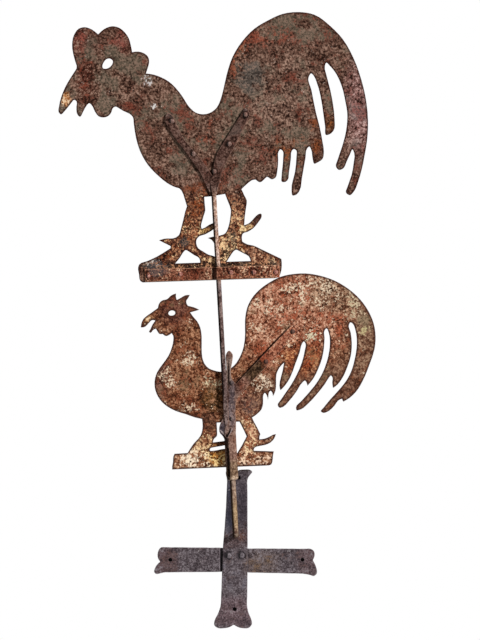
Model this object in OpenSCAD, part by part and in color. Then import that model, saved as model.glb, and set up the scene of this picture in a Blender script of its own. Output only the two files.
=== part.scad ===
// Wrought-iron rooster weathervane: two sheet-iron roosters, one above the other, riveted to
// forged forks that turn together on a fixed spindle. The spindle stands on a nailed cross bracket.
// Origin: middle of the cross, on its back face. +X right, +Z up, the front faces -Y. Millimetres.

/* [Pivot] */
// Lean of the spindle and of all that turns on it, towards -X
lean = 3.2; // [0:0.1:5]
// Distance from the front of the upright to the spindle's line
stand_off = 24; // [21:0.5:32]
// Diameter of the spindle
spindle_d = 9.5; // [8:0.1:10]
// Outer diameter of the rolled socket
socket_d = 19; // [18:0.1:20]
// Inner diameter of the rolled socket above its drawn-in mouth
socket_bore_d = 12.5; // [11.5:0.1:13]

/* [Bracket] */
// Thickness of the upright strap
upright_t = 6; // [5.5:0.5:8]
// Thickness of the cross strap
cross_t = 5; // [4:0.5:5]
// Diameter of the nail holes
nail_hole_d = 6; // [5:0.1:7]
// Diameter of the spindle's foot where it is riveted through the upright
foot_d = 7; // [6:0.1:8]

/* [Figures] */
// Thickness of the upper rooster's sheet
upper_sheet_t = 3; // [2:0.5:4]
// Thickness of the lower rooster's sheet
lower_sheet_t = 3; // [2:0.5:4]
// Height of the upper rooster's foot above the lower rooster's foot
upper_rise = 300.4; // [298:0.2:306]
// Turn of the upper rooster on its fork, in degrees
upper_turn = 1.36; // [0:0.02:2]
// Turn of the lower rooster on its stem, in degrees
lower_turn = 0.57; // [0:0.01:1]

/* [Ironwork] */
// Diameter of the long rod between the forks
rod_d = 8; // [7:0.1:9]
// Distance of the rod's line to the left of the spindle's line
rod_shift = 4.5; // [3:0.1:5]
// Thickness of the forks' flat arms
arm_t = 4; // [3.5:0.1:5]
// Width of the strap across the upper rooster's foot
strap_w = 20; // [16:0.5:22]
// Thickness of that strap
strap_t = 3; // [2:0.1:4]
// Diameter of the rivet heads
rivet_head_d = 8; // [6:0.1:8]
// Height of the rivet heads
rivet_head_h = 2.5; // [1:0.1:3]

/* [Hidden] */
$fn = 64;

iron = "#57505a";
rust_grey = "#6b5c50";
rust_red = "#8a5a44";
rust_tan = "#a8876c";

// How far a drawn curve may stray from its true line
curve_tolerance = 0.12;
// Gap round a rivet's or a tenon's shank in its hole, on the diameter
hole_gap = 0.1;
// Gap between the rod's back and the iron that it lies on
rod_gap = 0.15;
// Levels along the spindle's line where the rod's scarf and its fade into the fork start and end
scarf_low = 60;
scarf_high = 118;
fade_low = upper_rise + 132;
fade_high = upper_rise + 160;

// Depths along Y, from the wall outwards
axis_y = -upright_t - stand_off;
lower_front_y = axis_y + socket_d/2;
stem_front_y = lower_front_y - arm_t;
rod_y = stem_front_y - rod_d/2 - rod_gap;
upper_front_y = stem_front_y;

// Where the spindle's line crosses the level of the lower rooster's foot
pivot_x = -5;
pivot_z = 149.1;

// Socket levels, measured along the spindle's line from the lower rooster's foot
socket_bottom = -20;
mouth_top = -15;
socket_top = 74;
plug_bottom = 34;
plug_top = 43;
cone_depth = 5;
// The socket's upper end is cut on a slope, lowest in front, so that it runs out into the flat stem.
// The two rolled lips part there in a V to the left of the middle, whose floor is just in front of
// the stem.
lip_level = 58;
lip_slope = 51;
bore_top = 44.5;
parting_x = -5.2;
parting_low = 47;
parting_w = 12.5;
parting_floor = 1;
// Below the plug its seam stays open at the front left.
seam_w = 8.6;
seam_angle = 51;
seam_top = 31;
// Running gap of the spindle in the mouth and under the plug, on the diameter
running_gap = 0.16;

// Rivets through the sheets
rivet_shank_d = rivet_head_d*0.55;
rivet_tail_d = rivet_head_d*0.9;
rivet_tail_h = 1;

// Rivets at the crossing. Their hammered-over ends, like the spindle's, fill a countersink at the
// wall and stay a little inside it.
crossing_head_d = 9.6;
crossing_head_h = 3;
crossing_shank_d = 6;
sunk = 0.3;
sink_h = 1.2;
sink_gap = 0.05;

// The crossing: the cross strap is thinned in front and the upright at the back, so that both lie
// flat on the wall. A dark groove stays open to the left of the upright.
lap_t = 2.5;
lap_play = 0.4;
lap_left = -24;
lap_right = 24;
upright_right = 20.3;
strap_half_w = 20;

// The spindle's foot, and the radius of the bend above it
spindle_foot_z = 40.8;
spindle_bend_r = 12;
foot_x = pivot_x + (pivot_z - spindle_foot_z)*tan(lean);

// A knot is [x, z] on a smooth run, or [x, z, 1] where the outline has a corner.
function at(p) = [p.x, p.y];
function sharp(p) = len(p) == 3;
function knot(k, i) = k[(i + len(k)) % len(k)];
function span(k, i) = norm(at(knot(k, i + 1)) - at(knot(k, i)));
function way(k, i) = (at(knot(k, i + 1)) - at(knot(k, i)))/span(k, i);
// Direction through a smooth knot: the nearer neighbour counts for more.
function bend(k, i) = (way(k, i - 1)*span(k, i) + way(k, i)*span(k, i - 1))/(span(k, i - 1) + span(k, i));
// Direction at each end of a run; a corner takes the curve's own natural direction.
function leave(k, i) = !sharp(knot(k, i)) ? bend(k, i)
    : sharp(knot(k, i + 1)) ? way(k, i)
    : 1.5*way(k, i) - 0.5*bend(k, i + 1);
function arrive(k, i) = !sharp(knot(k, i + 1)) ? bend(k, i + 1)
    : sharp(knot(k, i)) ? way(k, i)
    : 1.5*way(k, i) - 0.5*bend(k, i);
function cosine(u, v) = min(1, max(-1, (u*v)/(norm(u)*norm(v))));
function turn(k, i) = acos(cosine(leave(k, i), way(k, i))) + acos(cosine(way(k, i), arrive(k, i)));
// A run gets as many straight steps as its length and its turn call for.
function steps(k, i) = max(1, ceil(sqrt(span(k, i)*turn(k, i)*PI/180/8/curve_tolerance)));
function run_point(p, q, u, v, t) = p*(2*t^3 - 3*t^2 + 1) + u*(t^3 - 2*t^2 + t)
    + q*(3*t^2 - 2*t^3) + v*(t^3 - t^2);
function outline(k) = [
    for (i = [0:len(k) - 1])
        let (n = steps(k, i), d = span(k, i))
            for (s = [0:n - 1])
                run_point(at(knot(k, i)), at(knot(k, i + 1)), leave(k, i)*d, arrive(k, i)*d, s/n)
];

// Upper rooster, seen from the front, from the foot's underside at the rod. Clockwise from the brow.
upper_head = [
    [-216, 350, 1], [-220.3, 366], [-222.2, 383], [-218.8, 399], [-211, 409], [-201.5, 411.3],
    [-190, 407.3], [-180, 399, 1], [-170.5, 407], [-157, 411.3], [-146, 408.5], [-136.8, 400.3],
    [-131.3, 391.5], [-128.5, 381], [-126.6, 368.8, 1], [-116.5, 369.4], [-108, 366.7], [-101.3, 360.5],
    [-99.8, 352.5], [-102, 343.8], [-105.6, 334, 1]
];
upper_back = [
    [-94, 332], [-82, 327.4], [-70, 320.4], [-59.3, 310.2], [-48, 294.7], [-38, 278.2], [-28, 269],
    [-16, 265.8], [-4, 268.4], [6, 276], [11.5, 286], [17, 303], [23.5, 328], [34, 356.5], [49.6, 380],
    [70, 400], [92, 412.5], [116, 422.3], [141, 424.5], [167, 419.3], [192, 400.2], [211.2, 378.6],
    [227, 348.5], [239, 311.5], [245.5, 277], [247.2, 247], [244.6, 215], [240, 192], [234.8, 170]
];
upper_tail_ends = [
    [228, 149.5], [221.5, 135.3], [214, 128.9], [208.3, 133], [211.3, 143.5], [218, 161], [222, 180],
    [223.4, 196], [220.8, 202], [217, 195], [211, 183], [205, 172], [198, 169.9], [193.8, 174.5],
    [197, 187.5], [202.5, 202], [209.4, 223], [213.8, 247], [214.3, 262], [212.3, 276.5], [206.5, 305],
    [199.3, 322.5], [188.8, 337], [183.3, 342], [181, 337], [183.2, 321.5], [188.5, 298], [192.2, 274],
    [193.8, 252], [191.5, 233], [185.5, 227.6], [179.6, 226.3], [178.2, 240], [176.3, 258], [172.3, 290],
    [166.8, 312], [162.3, 322.3], [158.7, 325.7], [154.9, 321], [158.5, 298], [164.3, 263], [169.3, 241],
    [173.4, 215.5], [175, 200], [172.3, 188], [165, 183.3], [159.2, 181], [156.5, 190], [154.7, 204],
    [151.8, 208.8], [148.5, 206], [145.3, 191], [138.5, 158.5], [134, 138.5], [129, 132.7],
    [122.7, 131.4], [121.3, 140], [127.9, 170], [130.9, 194], [130.8, 203.5], [127, 205.6],
    [123.6, 202.5], [122, 191.5], [118, 168], [115.4, 156], [111, 153.3], [106.2, 154], [106, 162],
    [107.9, 177], [109.6, 193], [109.1, 203.3], [105.7, 205.8], [102.5, 202.3], [101.6, 190],
    [99.5, 171], [96, 160.5], [90, 158.3], [85.8, 161], [82.8, 162.8, 1], [79.3, 159.8],
    [71.4, 154.2], [64.3, 158.8, 1], [60, 158.4], [50, 151.8], [41.3, 144.2, 1]
];
upper_right_leg = [
    [45.5, 134], [49.2, 125.8], [48, 116], [45, 99], [43.9, 86.3, 1], [52, 89.5], [60.5, 97.8],
    [67, 103.3], [71.5, 103.8], [72.2, 99.5], [67, 91], [57.8, 80.8], [49.5, 75.8], [41.3, 73],
    [39.3, 66.5], [40.2, 60, 1], [48.5, 55.3], [57, 53.4], [68, 48, 1], [101.5, 30.5, 1],
    [101.8, 19], [99.6, 8], [96.3, 2], [90, 0, 1]
];
upper_left_leg = [
    [-121.5, 0, 1], [-125.2, 2.6], [-127, 13], [-128, 24.5], [-126, 29], [-113, 34], [-97, 40.8],
    [-85, 47.5], [-75.3, 53.3, 1], [-75, 56.7, 1], [-84, 61.5], [-93.3, 66.6, 1], [-85, 68.8],
    [-67, 70], [-61, 74], [-57.8, 83], [-53.3, 98.5], [-50, 111], [-46.8, 119.5, 1], [-50.5, 133],
    [-54.5, 144.5], [-58.5, 148.8, 1]
];
upper_breast = [
    [-67, 151.7], [-77, 157.5], [-91, 169.6], [-107, 187.5], [-118, 207.8], [-124.8, 231.5],
    [-127.6, 254], [-129, 265.5], [-134, 270.5], [-143.6, 275.2], [-150.5, 279.8], [-156.3, 282.6],
    [-160.3, 280.3], [-163, 273.5], [-168, 268], [-175.5, 265.9], [-183.5, 268], [-189, 275.5],
    [-193.8, 285.8], [-197.8, 289.4], [-202, 286], [-208, 276], [-213.7, 268.2], [-217, 271.5],
    [-218.5, 284], [-218, 292.8], [-221.5, 295.7], [-226.5, 290.8], [-238.5, 277], [-243.6, 272.9],
    [-247.2, 277], [-246.3, 285.5], [-242.5, 300], [-235.3, 316.5], [-227, 330], [-219.5, 340.8],
    [-216.4, 345.6]
];
upper_eye = [
    [-174.9, 348.2], [-172.6, 354], [-168, 359], [-162, 359.6], [-157.9, 355.8], [-159.3, 350],
    [-164, 345.4], [-170.3, 343.6], [-174, 344.6]
];
upper_leg_gap = [
    [-18.7, 133.6, 1], [-7.5, 134.2, 1], [14.7, 137.3, 1], [19, 125], [23.2, 111.5], [22.3, 102], [20.3, 91],
    [17.3, 81.5], [13, 74.3], [5, 71.2], [-5, 70], [-15.3, 67.8, 1], [-9, 64.3], [-5.5, 59],
    [-3.5, 50], [-2, 42], [0.5, 34.5, 1], [-7, 38.8], [-14, 40.7], [-23.3, 46.5], [-31, 52],
    [-33.7, 59], [-33, 66], [-28, 71.2], [-20, 73.4], [-13, 76.8], [-6.7, 80.5], [-3, 85],
    [-1, 92, 1], [-7, 91], [-13.3, 88.3],
    [-19, 84.6], [-24.3, 82.6, 1], [-25.3, 87], [-23.3, 95], [-20.6, 103.5], [-17.7, 112], [-18.2, 121]
];
upper_left_toes = [
    [-68.5, 28.7, 1], [-60.5, 38], [-55.3, 45.8], [-51, 49.6], [-46.5, 47.3], [-38.5, 41.5],
    [-29.8, 35.7], [-28.5, 28.8, 1]
];
upper_right_toes = [
    [13.8, 28.8, 1], [20.5, 38.6], [25.7, 45.3], [29.5, 47.6], [34, 45.5], [42, 41], [49.5, 36.3],
    [52.3, 28.8, 1]
];

// Lower rooster, likewise. Clockwise from the beak's tip.
lower_head = [
    [-136, 230.2, 1], [-134.6, 237.3], [-131.3, 243.6], [-124, 249.3], [-116, 254.4], [-107.2, 260.2, 1],
    [-105.6, 266], [-100.5, 271.5], [-92, 273.6], [-84.5, 279.6], [-77.2, 282, 1], [-77.6, 276],
    [-76.6, 271.6, 1], [-70.5, 274.3], [-62.5, 278.4], [-55.3, 278.6, 1], [-58, 274], [-61.3, 269.5],
    [-60.7, 264], [-58.8, 261.2, 1], [-50, 258.7], [-41.2, 254.2, 1], [-49, 252.3], [-56, 250.6, 1]
];
lower_back = [
    [-51.5, 243.5], [-45.5, 236], [-41, 226], [-39.4, 212], [-40.3, 192], [-39.8, 177], [-36.5, 167],
    [-30.5, 160], [-22, 156], [-10, 153.6], [0, 156], [11, 163.2], [20, 175.5], [27, 192],
    [30.2, 212], [31, 233], [35.5, 254], [43.5, 268.5], [56, 281.5], [73, 292.8], [92, 301.2],
    [112, 304.5], [131.5, 304.5], [153, 300.2], [176.2, 291.4], [199.6, 276], [216.7, 259],
    [229.2, 239.5], [236.5, 220], [238.7, 199], [236, 178]
];
lower_tail_ends = [
    [227.5, 155.5], [214, 127], [203.3, 111.5], [192, 101.8], [182, 96.6, 1], [180.3, 101.4, 1],
    [177.3, 100.6], [165.3, 88.3], [155.5, 81.4], [148.5, 80.5], [145.6, 83], [150, 88.3],
    [160, 99.6], [177.3, 117], [189.3, 131], [197.6, 145.5], [203.5, 163.3], [207.4, 181],
    [208.4, 197], [206.5, 212], [203.3, 220.4], [199.6, 222.9], [197, 219.5], [199.3, 206],
    [200.2, 190], [197.5, 168.7], [191.5, 152.3], [182, 133.8], [174, 124.2], [166.8, 119.2, 1],
    [166, 128], [166.6, 136.5], [164.4, 139.5], [161.5, 136.8], [154.7, 127], [140.5, 110.5],
    [126, 96.2], [112.5, 87], [107, 86.4], [106.2, 90.8], [116, 101.5], [137.7, 124.4], [149.5, 141.2],
    [158.2, 160], [163.7, 179.5], [165.3, 194], [164, 208], [160.8, 215], [157.8, 212.5],
    [157, 200], [155.2, 183.5], [151.3, 167], [145.3, 152.4], [136, 135.6], [126.2, 124.8, 1],
    [124.6, 130.5], [122.5, 133.3], [119, 131], [107.9, 116], [94, 100], [86.5, 93.3], [79.5, 91.8],
    [77.2, 95.3], [83.5, 105.6], [98.3, 125], [110, 143.6], [119, 162.6], [124.3, 181], [126, 192.5],
    [123.6, 195.9], [120.6, 192.5], [116.4, 179.5], [108.4, 160.7], [99, 139], [90, 126.4],
    [82.6, 119.5, 1], [81.3, 127], [84, 139.5], [87.6, 151], [90.4, 163.4, 1], [82.3, 155.3],
    [77.3, 145], [76.2, 131], [74.7, 119.5], [70.2, 110.3, 1], [69.2, 116.5], [66.7, 119.4],
    [64.2, 117], [62.9, 110.5], [61.9, 104.6, 1], [60.4, 112.5], [57.3, 116.5], [54.9, 113.3],
    [54.2, 106], [53.7, 99], [51, 90.6], [44.5, 84], [35.2, 78, 1]
];
lower_right_leg = [
    [38, 71], [42.5, 62], [47.3, 50.8, 1], [45.6, 46.7], [45.3, 42.7, 1], [53.4, 43.3], [61, 45.8],
    [67.5, 49], [72.1, 50, 1], [69, 42.7], [62.5, 36.5], [54, 33.2], [43.9, 31.8], [38, 30.2],
    [35.8, 27.5], [35.6, 24.8, 1], [67.5, 22.3, 1], [65.8, 15], [64.6, 6.5], [62.5, 1.8],
    [58.5, 0.2, 1]
];
lower_left_leg = [
    [-96.3, 0.8, 1], [-96, 6], [-94.4, 13], [-93.5, 21.5], [-91.4, 25.8, 1], [-70.5, 26, 1],
    [-60.6, 40], [-48.3, 53.2], [-45.3, 61.5], [-44.8, 79.3, 1]
];
lower_breast = [
    [-57, 82.7], [-70.2, 88.1], [-86.7, 94.2], [-100, 102.3], [-111, 113.8], [-117.3, 128.5],
    [-118, 143], [-113.3, 157.3], [-103.5, 170.5], [-94, 182.8], [-87.7, 196.5], [-84.9, 208],
    [-84.9, 214.5], [-87.3, 218.8, 1], [-91.5, 216], [-96.2, 214.6], [-101.6, 218.2, 1],
    [-106.8, 218.5], [-109.4, 222], [-112.5, 227], [-116.8, 225], [-120.8, 221], [-123.1, 222.3],
    [-120.5, 227.3], [-117.5, 233.5], [-112.3, 240, 1], [-117, 241.2], [-124, 235.6], [-129, 231]
];
lower_eye = [
    [-91, 250.8], [-89, 254], [-85, 255.2], [-81, 253.7], [-79.8, 250.4], [-82.5, 247.6],
    [-86.5, 246.9], [-90, 248.2]
];
lower_leg_gap = [
    [-21.7, 72.4, 1], [14.8, 72.4, 1], [21.5, 57.5], [25.2, 48.3, 1], [17, 34.3], [9, 22.5, 1],
    [-11, 30], [-28, 27.8], [-34.6, 28.4], [-34, 31.5], [-28, 33.3], [-16, 34.7], [-5, 37.3],
    [3, 43.5, 1], [-11, 42.6], [-29.3, 41, 1], [-27.6, 46.2], [-22.3, 51.2], [-21.7, 56, 1]
];

// Forks, each in the outline space of the rooster that it carries.
upper_fork_outline = [
    [-3.4, 164.5, 1], [-3.6, 177.5], [-0.2, 191.5], [4.8, 205], [15.8, 221.8], [50.6, 274, 1],
    [56.5, 269.5], [58.8, 262.5, 1], [41.6, 230], [31.4, 210.3], [18.7, 189], [11.5, 172.5],
    [5, 150.3], [1.4, 138], [-1.5, 121, 1], [-4.3, 121, 1], [-8.4, 138], [-14.6, 148.6],
    [-22, 167.5], [-39.5, 195.6], [-73.5, 247], [-77.6, 256], [-76.8, 265.5], [-72, 269.7],
    [-66.5, 266.5], [-62, 257],
    [-48.8, 229], [-23.5, 196], [-10, 176.5]
];
lower_fork_outline = [
    [-4, 22, 1], [-10, 44], [-13.4, 51], [-17.3, 55.5], [-18.3, 61.5], [-16.7, 69], [-12.6, 77.5],
    [-8.6, 120], [-5, 139.5], [-2.6, 152], [-2.4, 170], [-2.2, 180], [3.2, 186.7], [8.8, 180.5],
    [8, 171], [5.6, 160], [4.6, 150], [6, 141.5], [11.8, 133.2, 1], [104, 222, 1], [109.5, 222.5],
    [115.3, 211, 1], [70, 166], [24, 122], [13, 110], [9.6, 96], [9.3, 72], [7.8, 50], [3, 22, 1]
];

// Rivet places, in the same spaces
upper_fork_rivet_at = [[-66.5, 256.3], [-33.7, 202.8], [-1.3, 173.7], [24.1, 216.9], [51.2, 263]];
plinth_rivet_at = [[-112.5, 10], [-61, 11.5], [20, 11.5], [56.4, 10.5], [91.5, 9.5]];
lower_fork_rivet_at = [[2.6, 77.2], [5.2, 135], [61.6, 166.6], [106.5, 212.5]];

// Bracket outlines, about the middle of the cross
upright_outline = [
    [-19.5, 20, 1], [-21, -20], [-22.2, -55], [-23.8, -76], [-28.5, -88], [-33, -97.5], [-33, -105],
    [-27.5, -108.8], [-18, -109.3], [-8.5, -107.3], [-2, -103.5, 1], [5, -107.6], [13, -109.3],
    [22, -108.6], [27, -103], [26.3, -95], [22.5, -86.5], [19.9, -77], [19.7, -58, 1], [20.3, 0, 1],
    [20, 118, 1], [20.8, 131.5], [25, 137.5], [27.8, 141.3], [24.5, 144.4], [15, 145.3], [6.5, 144.3],
    [2.5, 141.8, 1], [-2, 144], [-9, 144.8], [-14.3, 142.5], [-14.8, 138.5], [-13, 131], [-13.2, 118]
];
cross_left_outline = [
    [lap_left, 20, 1], [lap_left, -19, 1], [-112, -19.8, 1], [-120, -21.3], [-126.5, -22.3],
    [-129.5, -19.5], [-128.5, -13.5], [-125.5, -8], [-120, -2.5, 1], [-123, 2], [-124.3, 8], [-122.8, 15.3],
    [-118.5, 20.5], [-112, 20.7, 1]
];
cross_right_outline = [
    [lap_right, 18.7, 1], [114, 18.2, 1], [122, 17.8], [126.7, 14], [127.8, 9], [124.8, 0, 1], [128, -6],
    [131, -14.5], [131.2, -21.5], [126.5, -25.7], [120, -23.8], [108, -21.8, 1],
    [lap_right, -20, 1]
];
crossing_outline = [[lap_left, 20], [lap_right, 18.7], [lap_right, -20], [lap_left, -19]];
cross_nail_at = [[-104, 0.5], [108, 0.5]];
upright_nail_at = [[5.6, 132], [-0.6, -78.7]];
crossing_rivet_at = [[-10, 7.3], [10.6, 7.5]];

module plate(front_y, thick)
    translate([0, front_y + thick, 0]) rotate([90, 0, 0]) linear_extrude(thick) children();

module bore_along_y(place, d, y_low, y_high)
    translate([place.x, y_high, place.y]) rotate([90, 0, 0]) cylinder(d = d, h = y_high - y_low);

// The leaning frame of all that turns
module vane() translate([pivot_x, 0, pivot_z]) rotate([0, -lean, 0]) children();
module lower_space() vane() translate([0.7, 0, 0]) rotate([0, lower_turn, 0]) children();
module upper_space() vane() translate([-rod_shift, 0, upper_rise]) rotate([0, upper_turn, 0]) children();

// A low dome that stands h above its flat side
module dome(d, h) {
    r = (d^2/4 + h^2)/(2*h);
    intersection() {
        translate([0, 0, h - r]) sphere(r);
        cylinder(d = d, h = h);
    }
}

// A rivet along Y: a domed head on front_y and a shank through to back_y
module rivet_body(place, front_y, back_y, head_d, head_h, shank_d)
    translate([place.x, 0, place.y]) rotate([90, 0, 0]) {
        translate([0, 0, -front_y]) dome(head_d, head_h);
        translate([0, 0, -back_y]) cylinder(d = shank_d, h = back_y - front_y + head_h/2);
    }

module rivet_holes(places, front_y, back_y)
    for (p = places) bore_along_y(p, rivet_shank_d + hole_gap, front_y - 1, back_y + 1);

module sheet_rivets(places, front_y, back_y)
    for (p = places) {
        rivet_body(p, front_y, back_y + rivet_tail_h/2, rivet_head_d, rivet_head_h, rivet_shank_d);
        translate([p.x, back_y, p.y]) rotate([-90, 0, 0]) dome(rivet_tail_d, rivet_tail_h);
    }

module nail_holes(places) for (p = places) bore_along_y(p, nail_hole_d, -upright_t - 1, 1);

// A hole through the bracket with a countersink at the wall for a riveted-over end
module sunk_hole(place, d) {
    bore_along_y(place, d + hole_gap, -upright_t - 1, 1);
    translate([place.x, -sunk + sink_gap, place.y]) rotate([90, 0, 0])
        cylinder(d1 = d + 2*sink_h + hole_gap, d2 = d + hole_gap, h = sink_h);
    bore_along_y(place, d + 2*sink_h + hole_gap, -sunk + sink_gap - 0.01, 1);
}

module crossing_holes() for (p = crossing_rivet_at) sunk_hole(p, crossing_shank_d);

module upright_strap() color(iron) difference() {
    plate(-upright_t, upright_t) polygon(outline(upright_outline));
    translate([-40, -lap_t, -strap_half_w - lap_play])
        cube([80, lap_t + 1, 2*(strap_half_w + lap_play)]);
    nail_holes(upright_nail_at);
    crossing_holes();
    sunk_hole([foot_x, spindle_foot_z], foot_d);
}

module cross_strap() color(iron) difference() {
    union() {
        plate(-cross_t, cross_t) polygon(outline(cross_left_outline));
        plate(-cross_t, cross_t) polygon(outline(cross_right_outline));
        plate(-cross_t, cross_t) polygon(crossing_outline);
    }
    translate([lap_left, -cross_t - 1, -30])
        cube([upright_right + lap_play - lap_left, cross_t - lap_t + 1, 60]);
    nail_holes(cross_nail_at);
    crossing_holes();
}

module crossing_rivets() color(iron)
    for (p = crossing_rivet_at) {
        rivet_body(p, -upright_t, -sunk, crossing_head_d, crossing_head_h, crossing_shank_d);
        translate([p.x, -sunk, p.y]) rotate([90, 0, 0])
            cylinder(d1 = crossing_shank_d + 2*sink_h, d2 = crossing_shank_d, h = sink_h);
    }

// The spindle: a tenon through the upright, a shoulder on its face, a bend and the leaning shaft
module spindle() color(rust_tan) {
    shaft_low = (spindle_foot_z - pivot_z)/cos(lean) + spindle_bend_r;
    shaft_high = plug_bottom - 0.3;
    // The bend is a hair thinner than the bar, and the bar runs a little way over both its ends.
    bend_d = spindle_d - 0.2;
    over = 0.5;
    vane() translate([0, axis_y, 0]) rotate_extrude() polygon([
        [0, shaft_low - over], [spindle_d/2, shaft_low - over], [spindle_d/2, shaft_high],
        [0, shaft_high + cone_depth]
    ]);
    vane() translate([0, axis_y + spindle_bend_r, shaft_low]) rotate([-90, 0, 0]) rotate([0, 90, 0])
        rotate_extrude(angle = 90) translate([spindle_bend_r, 0]) circle(d = bend_d);
    translate([foot_x, -upright_t, spindle_foot_z]) rotate([90, 0, 0])
        cylinder(d = spindle_d, h = stand_off - spindle_bend_r + over);
    translate([foot_x, -sunk, spindle_foot_z]) rotate([90, 0, 0]) {
        cylinder(d = foot_d, h = upright_t);
        cylinder(d1 = foot_d + 2*sink_h, d2 = foot_d, h = sink_h);
    }
}

// The stem's foot is rolled into a socket with a rounded mouth that is drawn in round the spindle.
module socket_tube() translate([0, axis_y, 0]) {
    r = socket_d/2;
    round_w = 2.5;
    round_h = 6;
    rotate_extrude() polygon(concat(
        [[0, socket_bottom]],
        [for (a = [0:15:90]) [r - round_w*(1 - sin(a)), socket_bottom + round_h*(1 - cos(a))]],
        [[r, socket_top], [0, socket_top]]
    ));
}

// The V between the rolled lips
module lip_parting() translate([parting_x, stem_front_y - parting_floor, 0]) rotate([90, 0, 0])
    linear_extrude(socket_d) polygon([
        [0, parting_low], [parting_w/2, lip_level], [parting_w/2, socket_top + 1],
        [-parting_w/2, socket_top + 1], [-parting_w/2, lip_level]
    ]);

module lower_fork() color(iron) difference() {
    union() {
        vane() difference() {
            socket_tube();
            translate([0, axis_y, lip_level]) rotate([lip_slope, 0, 0]) translate([-20, -40, 0])
                cube([40, 80, 40]);
            lip_parting();
        }
        lower_space() plate(stem_front_y, arm_t) polygon(outline(lower_fork_outline));
    }
    vane() translate([0, axis_y, socket_bottom - 1])
        cylinder(d = spindle_d + running_gap, h = mouth_top - socket_bottom + 2);
    vane() translate([0, axis_y, mouth_top]) cylinder(d = socket_bore_d, h = bore_top - mouth_top);
    vane() translate([0, axis_y, mouth_top]) rotate([0, 0, -seam_angle]) translate([-seam_w/2, -20, 0])
        cube([seam_w, 20, seam_top - mouth_top]);
    lower_space() rivet_holes(lower_fork_rivet_at, stem_front_y, lower_front_y);
}

// The plug driven into the socket: the spindle's point turns in the cone under it.
module socket_plug() color(rust_tan) vane() translate([0, axis_y, plug_bottom]) difference() {
    cylinder(d = socket_bore_d - hole_gap, h = plug_top - plug_bottom);
    translate([0, 0, -0.01]) cylinder(d1 = spindle_d, d2 = 0, h = cone_depth);
}

module lower_rooster() color(rust_red) lower_space() difference() {
    plate(lower_front_y, lower_sheet_t) difference() {
        polygon(outline(concat(lower_head, lower_back, lower_tail_ends, lower_right_leg, lower_left_leg,
                               lower_breast)));
        polygon(outline(lower_eye));
        polygon(outline(lower_leg_gap));
    }
    rivet_holes(lower_fork_rivet_at, lower_front_y, lower_front_y + lower_sheet_t);
}

module lower_fork_rivets() color(iron) lower_space()
    sheet_rivets(lower_fork_rivet_at, stem_front_y, lower_front_y + lower_sheet_t);

module upper_rooster() color(rust_grey) upper_space() difference() {
    plate(upper_front_y, upper_sheet_t) difference() {
        polygon(outline(concat(upper_head, upper_back, upper_tail_ends, upper_right_leg, upper_left_leg,
                               upper_breast)));
        polygon(outline(upper_eye));
        polygon(outline(upper_leg_gap));
        polygon(outline(upper_left_toes));
        polygon(outline(upper_right_toes));
    }
    rivet_holes(concat(upper_fork_rivet_at, plinth_rivet_at), upper_front_y, upper_front_y + upper_sheet_t);
}

// A cut through the rod, drawn in Y and Z and run across it
module cut_across(points) translate([-rod_shift - rod_d, 0, 0]) rotate([90, 0, 90])
    linear_extrude(2*rod_d) polygon(points);

// The long rod: a long scarf on the lower stem, a round length, and a front face that slopes away
// where the rod is hammered flat for the fork
module rod_bar() {
    r = rod_d/2;
    scarf_slope = (scarf_high - scarf_low)/rod_d;
    arm_y = upper_front_y - arm_t + 0.5;
    fade_slope = (fade_high - fade_low)/(arm_y - rod_y + r);
    difference() {
        translate([-rod_shift, rod_y, scarf_low - 1]) cylinder(d = rod_d, h = fade_high - scarf_low + 1);
        cut_across([[rod_y + r + 1, scarf_low - scarf_slope], [rod_y - r - 1, scarf_high + scarf_slope],
                    [rod_y - r - 1, scarf_low - scarf_slope]]);
        cut_across([[rod_y - r - 1, fade_low - fade_slope], [arm_y + 1, fade_high + fade_slope],
                    [rod_y - r - 1, fade_high + fade_slope]]);
    }
}

module upper_fork_rod() color(rust_grey) difference() {
    union() {
        vane() rod_bar();
        upper_space() plate(upper_front_y - arm_t, arm_t) polygon(outline(upper_fork_outline));
    }
    upper_space() rivet_holes(upper_fork_rivet_at, upper_front_y - arm_t, upper_front_y);
}

module upper_fork_rivets() color(iron) upper_space()
    sheet_rivets(upper_fork_rivet_at, upper_front_y - arm_t, upper_front_y + upper_sheet_t);

// Strap across the upper foot: flat on the sheet, with a hump hammered over the rod
module plinth_strap() color(rust_red) difference() {
    upper_space() strap_blank();
    vane() translate([-rod_shift, rod_y, upper_rise - 10]) linear_extrude(strap_w + 20) {
        circle(r = rod_d/2 + hole_gap);
        translate([-rod_d/2 - hole_gap, 0]) square([rod_d + 2*hole_gap, 20]);
    }
    upper_space() rivet_holes(plinth_rivet_at, upper_front_y - strap_t, upper_front_y);
}

module strap_blank() {
    out_r = rod_d/2 + strap_t;
    hump_y = rod_y - upper_front_y;
    flare = 3;
    translate([0, upper_front_y, 0.8]) linear_extrude(strap_w) difference() {
        union() {
            translate([-118, -strap_t]) square([216, strap_t]);
            translate([0, hump_y]) circle(r = out_r);
            translate([-out_r, hump_y]) square([2*out_r, -hump_y]);
            translate([-out_r - flare, -strap_t - flare]) square([2*(out_r + flare), flare + 0.01]);
        }
        for (side = [-1, 1])
            translate([side*(out_r + flare), -strap_t - flare]) circle(r = flare);
        translate([-200, 0]) square([400, 20]);
    }
}

module plinth_strap_rivets() color(iron) upper_space()
    sheet_rivets(plinth_rivet_at, upper_front_y - strap_t, upper_front_y + upper_sheet_t);

upright_strap();
cross_strap();
crossing_rivets();
spindle();
lower_fork();
socket_plug();
lower_rooster();
lower_fork_rivets();
upper_fork_rod();
upper_rooster();
upper_fork_rivets();
plinth_strap();
plinth_strap_rivets();
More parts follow.
